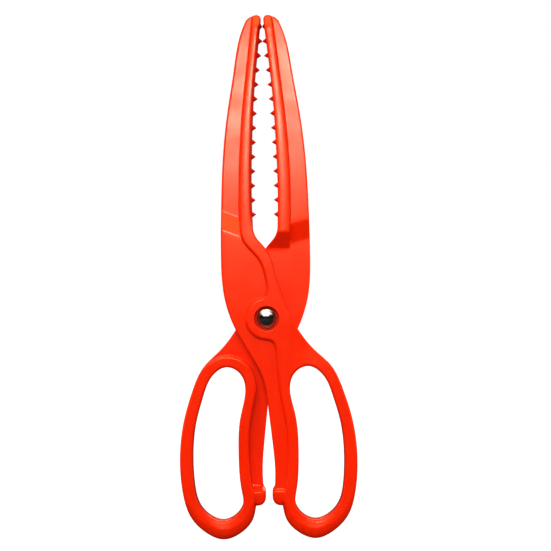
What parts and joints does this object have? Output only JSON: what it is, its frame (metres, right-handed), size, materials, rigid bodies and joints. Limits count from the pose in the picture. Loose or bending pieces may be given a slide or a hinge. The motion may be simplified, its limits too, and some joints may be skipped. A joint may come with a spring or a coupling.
{
  "type": "gripping tongs",
  "caption": "Scissor-handled plastic gripping tongs: two crossed arms on a capped rivet, with toothed lens-shaped jaws and closed finger loops.",
  "frame": {"origin": "on the rivet axis, in the plane of the back face that the tool rests on", "axes": "+X to the right seen from the front, +Y from the front face to the back face, +Z along the tool from the finger loops to the jaw tips"},
  "size_m": [0.086, 0.011, 0.2541],
  "materials": {
    "arm_plastic": "satin to glossy injection-moulded surface, orange-red through and through",
    "rivet_steel": "plain turned steel",
    "cap_chrome": "mirror-polished nickel plate"
  },
  "bodies": {
    "back_half": {"back_arm": "arm_plastic", "rivet_barrel": "rivet_steel", "rivet_stud": "rivet_steel", "front_rivet_cap": "cap_chrome", "rear_rivet_cap": "cap_chrome"},
    "front_half": {"front_arm": "arm_plastic"}
  },
  "joints": [
    {"name": "pivot", "type": "hinge", "parent": "back_half", "child": "front_half", "pos_m": [0, -0.0055, 0], "axis": [0, -1, 0], "range_deg": [0, 75]}
  ]
}
